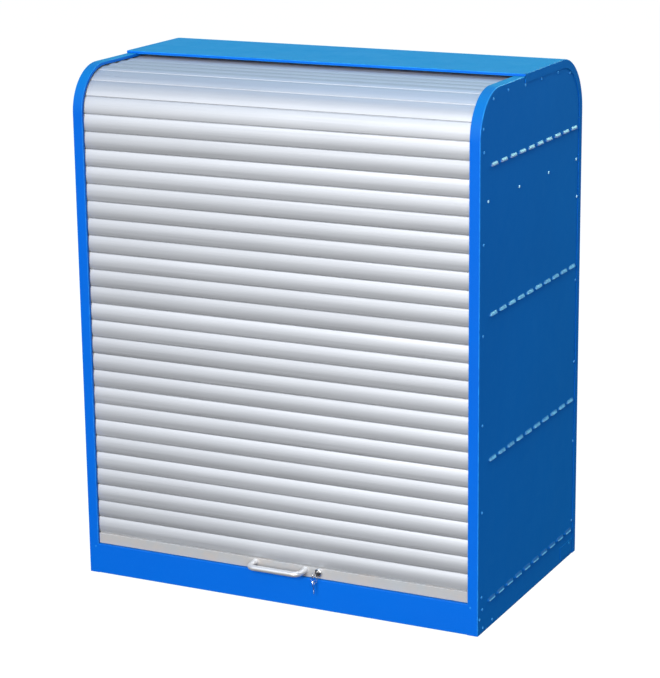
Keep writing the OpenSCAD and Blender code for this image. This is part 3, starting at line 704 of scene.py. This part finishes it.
def rivets(mirror):
    b = Build()
    places = [(20, z) for z in ROW_Z] + EXTRA + [(583, z) for z in (85, 285, 481, 679, 878)]
    places += [(44.8 + j * 176.8, 967) for j in range(4)]
    for y, z in places:
        # painted highlight, brightest on the tray rail's row and the rear edge, least round the top
        rub = 1.0 if z == 967 or (y, z) == (583, 878) else 0.10 if y > 575 else 0.0 if y == 567 else 0.05
        dome(b, (SX, y, z), (1, 0, 0), 3.5, 1.8, dimple=0.9, rub=rub * rnd.uniform(0.9, 1.05))
    side = "left" if mirror else "right"
    ob = b.finish(f"{side}_rivet_heads", "cabinet", "blue_paint", (f"{side}_rivets",), mirror=mirror, angle=50,
                  weighted=False)
    # bright painted-highlight coat on the tray rail's row and one rear rivet, the dimmer coat on the rest
    ob.data.materials[0] = RIVET
    ob.data.materials.append(DULL)
    for p in ob.data.polygons:
        if abs(p.center.z - 0.967) > 0.01 and (abs(p.center.z - 0.878) > 0.01 or p.center.y < 0):
            p.material_index = 1
    return ob


rivets(False)
rivets(True)


# ---------------------------------------------------------------- shutter slats
ARC_S = 3.5
ARC_R = (400 + ARC_S * ARC_S) / (2 * ARC_S)


def slat_outline(hooked):
    """closed (depth, height) section from the hinge line, front towards -depth: [(a, b, painted shade at the joints)]
    """
    ca = 8.5 - HINGE + ARC_R
    pts = []
    n = 26
    lo, hi = 0.45, PITCH - 0.45
    for k in range(n + 1):
        q = lo + (hi - lo) * (0.5 - 0.5 * math.cos(math.pi * k / n))
        a = ca - math.sqrt(ARC_R ** 2 - (q - 20) ** 2)
        # the edges are rolled over with a small radius
        e = min(q - lo, hi - q)
        if e < 0.7:
            a += 0.7 - math.sqrt(max(0.49 - (0.7 - e) ** 2, 0.0))
        # painted shade along the slat's edges, where it meets the next slat
        g = max(0.0, 1 - e / 1.6)
        pts.append((a, q, g))
    top = PITCH
    if hooked:
        pts += [(0.0, hi, 1.0), (0.0, top + 3.9, 1.0), (1.1, top + 3.9, 1.0), (1.1, hi, 1.0)]
    else:
        pts += [(-0.35, hi, 0.5), (-0.35, top + 0.22, 0.45), (1.5, top + 0.22, 1.0), (1.6, hi - 0.3, 1.0)]
    pts += [(5.0, PITCH - 2.6, 0.2), (5.0, 2.6, 0.2), (1.5, lo, 1.0)]
    return pts


def add_slat(b, y, z, turn, hooked, seed, shade_behind_crown=0.0, joint_shade=1.0, lip=None):
    r = random.Random(seed)
    sec = slat_outline(hooked)
    t = math.radians(turn + r.uniform(-0.35, 0.35))
    c, s = math.cos(t), math.sin(t)
    tone = r.random()
    ph, ph2 = r.uniform(0, 6.28), r.uniform(0, 6.28)
    off = r.uniform(-0.12, 0.12)
    rows = []
    n = 18
    for k in range(n + 1):
        x = -493 + 986 * k / n
        wob = 0.07 * math.sin(x / 210 + ph) + 0.04 * math.sin(x / 83 + ph2) + off
        row = []
        for a, q, g in sec:
            a2 = a + (wob if a < 0.1 and q < PITCH + 0.1 else 0.0)
            lee = min(1.0, max(0.0, (q - 5.0) / 11.0))      # painted shade behind the crown, set per slat
            # painted shade: the larger of the joint shade, scaled per slat and on the upper part by the lip factor, and
            # the shade behind the crown
            row.append(b.add(x, y + a2 * c + q * s, z - a2 * s + q * c, tone=tone,
                             grime=max(g * 0.8 * (lip if lip is not None and q > 30 else joint_shade),
                                       shade_behind_crown * lee * lee * (3 - 2 * lee))))
        rows.append(row)
    b.grid(rows, closed=True, caps=True)


STEP = math.degrees(2 * math.asin(PITCH / 2 / RHO))
N_ARC = int(90 // STEP)


def arc_pt(deg):
    a = math.radians(deg)
    return FRONT_R - RHO * math.cos(a), BEND_Z + RHO * math.sin(a)


P3 = arc_pt(N_ARC * STEP)
RISE = BEND_Z + RHO - P3[1]
RUN = math.sqrt(PITCH ** 2 - RISE ** 2)

b = Build()
for i in range(25):
    add_slat(b, HINGE, RAIL_HI + i * PITCH, 0.0, i < 24, 100 + i, joint_shade=1.0 if i < 24 else 0.6)
curtain = b.finish("front_curtain", "cabinet", "slat_aluminium", ("slats_front",), angle=40, weighted=False)
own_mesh(curtain)

b = Build()
for i in range(N_ARC):
    y, z = arc_pt(i * STEP)
    add_slat(b, y, z, (i + 0.5) * STEP, False, 200 + i, shade_behind_crown=0.10 * i, joint_shade=0.35 if i < 2 else 0.0)
add_slat(b, P3[0], P3[1], 90 - math.degrees(math.asin(RISE / PITCH)), False, 210, shade_behind_crown=0.42, joint_shade=0.0, lip=0.50)
b.finish("bend_slats", "cabinet", "slat_aluminium", ("slats_bend",), angle=40, weighted=False)

b = Build()
for i in range(6):
    add_slat(b, P3[0] + RUN + i * PITCH, BEND_Z + RHO, 90.0, i < 5, 220 + i, shade_behind_crown=(0.42, 0.27, 0.12)[min(i, 2)],
             joint_shade=0.05, lip=0.45 if i == 0 else None)
b.finish("top_slats", "cabinet", "slat_aluminium", ("slats_top",), angle=40, weighted=False)


# ---------------------------------------------------------------- end rail, seal
def end_rail():
    b = Build()
    lo, hi = 72.8, RAIL_HI - 0.4
    sec = fillet([(7.0, lo), (7.0, hi), (13.0, hi), (13.0, hi + 4.4), (14.1, hi + 4.4), (14.1, hi), (21.0, hi),
                  (21.0, lo), (17.0, lo), (17.0, lo + 3.3), (11.0, lo + 3.3), (11.0, lo)],
                 [0.9, 0.9, 0, 0, 0, 0, 0.8, 0.8, 0, 0, 0, 0], n=4, closed=True)
    xs = [-473 + 946 * k / 12 for k in range(13)]
    # painted shade on the tongue that reaches up into the lowest slat
    rows = [[b.add(x, y, z, wear=w, grime=0.5 if z > hi + 0.5 else 0.0) for y, z, w in sec] for x in xs]
    b.grid(rows, closed=True, caps=True)
    return b.finish("end_rail_profile", "shutter", "rail_aluminium", ("end_rail",))


end_rail()


# ---------------------------------------------------------------- bow handle
def tube(b, pts, radii, seg=28, wear=0.0):
    """round bar along points, in front-frame millimetres, with parallel transport"""
    pts = [Vector(p) for p in pts]
    d0 = (pts[1] - pts[0]).normalized()
    u = d0.orthogonal().normalized()
    rows = []
    for i, p in enumerate(pts):
        d = (pts[min(i + 1, len(pts) - 1)] - pts[max(i - 1, 0)]).normalized()
        u = (u - d * u.dot(d)).normalized()
        v = d.cross(u)
        r = radii[i] if isinstance(radii, (list, tuple)) else radii
        rows.append([b.add(*(p + u * (r * math.cos(2 * math.pi * k / seg)) + v * (r * math.sin(2 * math.pi * k / seg))),
                           wear=wear) for k in range(seg)])
    b.grid(rows, closed=True, caps=True)


def bow_handle():
    b = Build()
    yo, R, h = -36 + 6.5, 15.0, 64.0
    pts, rad = [], []
    for y, r in ((7.2, 8.0), (6.6, 7.8), (5.6, 7.1), (4.4, 6.7), (3.0, 6.52), (0.0, 6.5), (-7.0, 6.5)):
        pts.append((HANDLE_X - h, y, LOCK_Z)); rad.append(r)
    for k in range(17):
        a = math.pi / 2 * k / 16
        pts.append((HANDLE_X - h + R - R * math.cos(a), yo + R - R * math.sin(a), LOCK_Z)); rad.append(6.5)
    for x in (-30.0, -10.0, 10.0, 30.0):
        pts.append((HANDLE_X + x, yo, LOCK_Z)); rad.append(6.5)
    left = pts[:24]
    for (x, y, z), r in zip(reversed(left), reversed(rad[:24])):
        pts.append((2 * HANDLE_X - x, y, z)); rad.append(r)
    tube(b, pts, rad)
    return b.finish("bow_handle_bar", "shutter", "handle_aluminium", ("bow_handle",))


bow_handle()


# ---------------------------------------------------------------- lock
def lathe(b, prof, c, seg=48, wear=0.0):
    """profile [(radius, y)] turned about the y axis through c"""
    rows = []
    for r, y in prof:
        rows.append([b.add(c[0] + r * math.cos(2 * math.pi * k / seg), y, c[1] + r * math.sin(2 * math.pi * k / seg),
                           wear=wear) for k in range(seg)])
    for a, c2 in zip(rows, rows[1:] + rows[:1]):
        for k in range(seg):
            j = (k + 1) % seg
            b.f.append((a[k], a[j], c2[j], c2[k]))


b = Build()
prof = [(6.05, 28.0), (6.05, -0.4), (6.35, -0.95), (6.9, -1.0)]
prof += [(7.3 + 2.3 * math.sin(math.radians(t)), 1.5 - 2.5 * math.cos(math.radians(t))) for t in range(0, 91, 9)]
prof += [(9.6, 3.2), (9.3, 3.5), (9.3, 3.9), (9.6, 4.2), (9.6, 6.6), (9.4, 7.0), (8.0, 7.0)]
z = 7.4
while z < 24.0:      # thread behind the rail
    prof += [(8.0, z), (7.55, z + 0.5)]
    z += 1.0
prof += [(7.6, 24.5)]
prof = [(r, y) if y < 25 or i else (r, 24.5) for i, (r, y) in enumerate(prof)]
prof[0] = (6.05, 24.5)
lathe(b, prof, (LOCK_X, LOCK_Z))
b.finish("lock_barrel", "shutter", "lock_chrome", ("lock_housing",), angle=28)


# keys: flat stamped outlines, turned or hanging by their hole
def key_outline(blade):
    pts = []
    c, e = 1.5, 0.35        # e: the rounding of the edges is added outside this outline
    a0 = math.degrees(math.asin((4 - e) / (10.5 - e)))
    for k in range(33):
        a = math.radians(a0 + (360 - 2 * a0) * k / 32)
        pts.append((c + (10.5 - e) * math.cos(a), (10.5 - e) * math.sin(a)))
    pts += [(16.0 - e, -4.0 + e), (16.0 - e, -3.6 + e)]
    x = 17.5
    cuts = [1.3, 0.7, 1.7, 1.0]
    for q in cuts:
        pts += [(x, -3.6 + e), (x + 1.2, -3.6 + e + q), (x + 2.2, -3.6 + e + q)]
        x += 3.6
    end = 15 + blade - e
    pts += [(end - 2.2, -3.6 + e), (end, -0.6), (end, 0.6), (end - 2.2, 3.6 - e), (16.0 - e, 3.6 - e), (16.0 - e, 4.0 - e)]
    return pts


def key_piece(name, place, scale, body, node):
    cu = bpy.data.curves.new(name, "CURVE")
    cu.dimensions = "2D"
    cu.fill_mode = "BOTH"
    cu.extrude = 0.00055 * scale
    cu.bevel_depth = 0.00035 * scale
    cu.bevel_resolution = 2
    hole = [(3.35 * math.cos(a), 3.35 * math.sin(a)) for a in [2 * math.pi * k / 24 for k in range(24)]]
    for loop in (key_outline(18), hole):
        sp = cu.splines.new("POLY")
        sp.points.add(len(loop) - 1)
        for p, (x, y) in zip(sp.points, loop):
            p.co = (x * scale / 1000, y * scale / 1000, 0, 1)
        sp.use_cyclic_u = True
    tmp = bpy.data.objects.new(name, cu)
    scene.collection.objects.link(tmp)
    bpy.context.view_layer.update()
    dg = bpy.context.evaluated_depsgraph_get()
    me = bpy.data.meshes.new_from_object(tmp.evaluated_get(dg), depsgraph=dg)
    bpy.data.objects.remove(tmp)
    me.transform(place)
    bm = bmesh.new()
    bm.from_mesh(me)
    bmesh.ops.remove_doubles(bm, verts=bm.verts, dist=1e-6)
    bmesh.ops.recalc_face_normals(bm, faces=bm.faces)
    bm.to_mesh(me)
    bm.free()
    me.shade_smooth()
    me.set_sharp_from_angle(angle=math.radians(35))
    ob = bpy.data.objects.new(name, me)
    scene.collection.objects.link(ob)
    ob.data.materials.clear()
    ob.data.materials.append(KEYM)
    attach(ob, body)
    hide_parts(node)
    return ob


KEY_Y = -17.4
flat = Matrix(((0, 0, 1, 0), (1, 0, 0, 0), (0, 1, 0, 0), (0, 0, 0, 1)))     # curve x -> +y, curve y -> +z
place = Matrix.Translation(P(LOCK_X, KEY_Y, LOCK_Z)) @ flat
key_piece("lock_key", place, 1.0, "lock", "key")
RING_Z, RING_R = LOCK_Z - 1.6, 8.0
turn = Matrix.Rotation(math.radians(-90), 4, "Z")
place = Matrix.Translation(P(LOCK_X, KEY_Y, RING_Z - 2 * RING_R - 1.3)) @ flat @ turn
key_piece("hanging_key", place, 0.8, "spare_key", "spare_key")

# split ring: two turns of round wire with free ends
b = Build()
pts = []
for k in range(97):
    a = 2 * math.pi * (k / 48.0) + 0.6
    yy = KEY_Y + 0.30 * (k / 96.0 * 2 - 1)
    pts.append((LOCK_X + RING_R * math.cos(a), yy, RING_Z - RING_R + RING_R * math.sin(a)))
tube(b, pts, 0.34, seg=10)
b.finish("split_ring", "key_ring", "key_steel", ("key_ring",), weighted=False)


# ---------------------------------------------------------------- spill trays and base pan
def pan(name, xh, ya, yb, z, h, t, node, slot="grey_paint"):
    """pressed tray: rounded corners, radiused floor, rim hemmed to the inside"""
    b = Build()
    R, nc = 9.0, 6
    loop = []
    for cx, cy, a0 in ((xh - R, yb - R, 0), (-xh + R, yb - R, 90), (-xh + R, ya + R, 180), (xh - R, ya + R, 270)):
        for k in range(nc + 1):
            a = math.radians(a0 + 90 * k / nc)
            loop.append((cx, cy, math.cos(a), math.sin(a)))
    sec = [(-5.0, z, 0.0)]
    for k in range(5):
        a = math.radians(-90 + 90 * (k + 1) / 5)
        sec.append((-4.0 + 4.0 * math.cos(a), z + 4.0 + 4.0 * math.sin(a), 0.6))
    sec += [(0.0, z + h - 1.2, 0.3), (-0.35, z + h - 0.35, 1.0), (-1.2, z + h, 1.0), (-2.1, z + h - 0.35, 1.0),
            (-2.5, z + h - 1.2, 0.4), (-2.5, z + h - 8.0, 0.3), (-1.9, z + h - 8.6, 0.6), (-1.2, z + h - 8.7, 0.0)]
    sec += [(-1.2, z + t + 3.2, 0.0)]
    for k in range(4):
        a = math.radians(0 - 90 * (k + 1) / 4)
        sec.append((-4.0 + 2.8 * math.cos(a), z + t + 2.8 + 2.8 * math.sin(a), 0.0))
    rows = []
    for o, zz, w in sec:
        rows.append([b.add(cx + nx * (R + o), cy + ny * (R + o), zz, wear=w * 0.6) for cx, cy, nx, ny in loop])
    b.grid(rows, closed=True)
    b.f.append(tuple(reversed(rows[0])))
    b.f.append(tuple(rows[-1]))
    return b.finish(name, "cabinet", slot, (node,))


pan("lower_spill_tray", 474, 42, 568, 318, 32, 1.2, "tray_lower")
pan("middle_spill_tray", 474, 42, 568, 643, 32, 1.2, "tray_middle")
pan("upper_spill_tray", 474, 42, 568, 952, 32, 1.2, "tray_upper")
pan("leak_tight_base_pan", 496.8, 42, 571.8, 20, 44, 1.2, "base_pan")

# ---------------------------------------------------------------- stage, light and camera
bpy.ops.mesh.primitive_plane_add(size=1, location=(0, 0, 0))
floor = bpy.context.object
floor.name = "stage_floor"
floor.scale = (80, 80, 1)
fm = Mat("stage_floor_paper")
fm.link(fm.mix(fm.remap(fm.noise(1.3, 3.0), 0.3, 0.7, 0.0, 1.0), (0.13, 0.13, 0.13), (0.135, 0.135, 0.135)),
        fm.b.inputs["Base Color"])
fm.link(fm.bump(fm.noise(600.0, 2.0), 0.0001, 0.3), fm.b.inputs["Normal"])
fm.setb(Roughness=0.9)
fm.b.inputs["Specular IOR Level"].default_value = 0.1
fm.b.inputs["Emission Color"].default_value = (1, 1, 1, 1)
fm.b.inputs["Emission Strength"].default_value = 0.95
floor.data.materials.append(fm.m)
floor.visible_glossy = False
floor.visible_diffuse = False

# white studio wall and ceiling, seen where a low view looks past the floor
bpy.ops.mesh.primitive_uv_sphere_add(segments=64, ring_count=32, radius=38, location=(0, 0, 0))
backdrop = bpy.context.object
backdrop.name = "stage_backdrop"
wm = Mat("stage_backdrop_paper")
wm.link(wm.mix(wm.remap(wm.noise(0.4, 3.0), 0.3, 0.7, 0.0, 1.0), (0.80, 0.80, 0.80), (0.81, 0.81, 0.81)),
        wm.b.inputs["Base Color"])
wm.setb(Roughness=0.9)
wm.b.inputs["Specular IOR Level"].default_value = 0.0
wm.b.inputs["Emission Color"].default_value = (1, 1, 1, 1)
wm.b.inputs["Emission Strength"].default_value = 1.0
backdrop.data.materials.append(wm.m)
for flag in ("visible_glossy", "visible_diffuse", "visible_shadow", "visible_transmission", "visible_volume_scatter"):
    setattr(backdrop, flag, False)

world = bpy.data.worlds.new("studio")
scene.world = world
world.use_nodes = True
wt = world.node_tree
bg = wt.nodes["Background"]
tc = wt.nodes.new("ShaderNodeTexCoord")
sep = wt.nodes.new("ShaderNodeSeparateXYZ")
wt.links.new(tc.outputs["Generated"], sep.inputs[0])
rampn = wt.nodes.new("ShaderNodeValToRGB")
mr = wt.nodes.new("ShaderNodeMapRange")
mr.inputs["From Min"].default_value = -1
mr.inputs["From Max"].default_value = 1
wt.links.new(sep.outputs["Z"], mr.inputs["Value"])
wt.links.new(mr.outputs["Result"], rampn.inputs["Fac"])
els = rampn.color_ramp.elements
els[0].position, els[0].color = 0.0, (0.05, 0.045, 0.045, 1)
els[1].position, els[1].color = 1.0, (0.26, 0.42, 0.72, 1)
for pos, col in ((0.42, (0.12, 0.115, 0.115)), (0.52, (0.50, 0.54, 0.60)), (0.62, (0.52, 0.66, 0.92))):
    e = els.new(pos)
    e.color = (*col, 1)
# the back of the studio is dark near the horizon and light above it
rear = wt.nodes.new("ShaderNodeValToRGB")
wt.links.new(mr.outputs["Result"], rear.inputs["Fac"])
els = rear.color_ramp.elements
els[0].position, els[0].color = 0.0, (0.05, 0.045, 0.045, 1)
els[1].position, els[1].color = 1.0, (0.26, 0.42, 0.72, 1)
for pos, col in ((0.42, (0.10, 0.10, 0.10)), (0.56, (0.18, 0.21, 0.25)), (0.68, (0.62, 0.74, 0.95)),
                 (0.86, (0.70, 0.84, 1.0))):
    e = els.new(pos)
    e.color = (*col, 1)
behind = wt.nodes.new("ShaderNodeMapRange")
behind.inputs["From Min"].default_value = 0.0
behind.inputs["From Max"].default_value = 0.5
wt.links.new(sep.outputs["Y"], behind.inputs["Value"])
both = wt.nodes.new("ShaderNodeMix")
both.data_type = "RGBA"
wt.links.new(behind.outputs["Result"], both.inputs["Factor"])
wt.links.new(rampn.outputs["Color"], [s for s in both.inputs if s.name == "A" and s.enabled][0])
wt.links.new(rear.outputs["Color"], [s for s in both.inputs if s.name == "B" and s.enabled][0])
wt.links.new([o for o in both.outputs if o.enabled][0], bg.inputs["Color"])
bg.inputs["Strength"].default_value = 0.55


def area(name, loc, target, size, power, color=(1, 1, 1), size_y=None):
    li = bpy.data.lights.new(name, "AREA")
    li.energy = power
    li.color = color
    li.size = size
    if size_y:
        li.shape = "RECTANGLE"
        li.size_y = size_y
    ob = bpy.data.objects.new(name, li)
    scene.collection.objects.link(ob)
    ob.location = loc
    d = Vector(target) - Vector(loc)
    ob.rotation_euler = d.to_track_quat("-Z", "Y").to_euler()
    ob.visible_camera = False
    return ob


area("key_softbox", (0.9, -11.9, 5.1), (0, -0.2, 0.5), 4.4, 1885, (1.0, 0.995, 0.985))
area("top_softbox", (0.2, 0.6, 4.6), (0, 0.1, 1.1), 3.0, 65, (0.42, 0.68, 1.0), 2.4)
area("rear_strip", (1.75, 4.5, 2.8), (0.5, 0.1, 0.6), 2.2, 115, (0.50, 1.0, 0.84), 1.6)
area("rear_glow", (-2.4, 5.4, 2.1), (0, 0.0, 1.2), 4.0, 10, (0.45, 0.76, 1.0), 0.5)
area("front_top", (-1.0, -5.0, 6.3), (0, -0.2, 0.8), 3.0, 62, (1.0, 1.0, 1.0))
area("side_kicker", (5.1, 2.2, 2.3), (0.5, 0.1, 0.6), 0.7, 24, (0.70, 1.0, 0.84))
area("front_fill", (3.4, -5.0, 1.9), (0, 0, 0.6), 2.4, 126, (1.0, 1.0, 1.0))

cam = bpy.data.cameras.new("camera")
cam_ob = bpy.data.objects.new("camera", cam)
scene.collection.objects.link(cam_ob)
scene.camera = cam_ob
yaw, pitch, roll = -0.459, 0.2598, -0.0113
fwd = Vector((math.sin(yaw) * math.cos(pitch), math.cos(yaw) * math.cos(pitch), -math.sin(pitch)))
right = Vector((math.cos(yaw), -math.sin(yaw), 0))
up = right.cross(fwd)
cr, sr = math.cos(roll), math.sin(roll)
cx = right * cr + up * sr
cy = up * cr - right * sr
cz = -fwd
rot = Matrix((cx, cy, cz)).transposed().to_4x4()
cam_ob.matrix_world = Matrix.Translation((2.33786, -4.72527, 1.95587)) @ rot
cam.sensor_width = 36
cam.sensor_fit = "AUTO"
cam.lens = 2335.5 * 36 / 678
cam.clip_start = 0.05
cam.clip_end = 200
cam.dof.use_dof = False

scene.view_settings.view_transform = "Standard"
scene.view_settings.look = "None"
scene.view_settings.exposure = 0.0
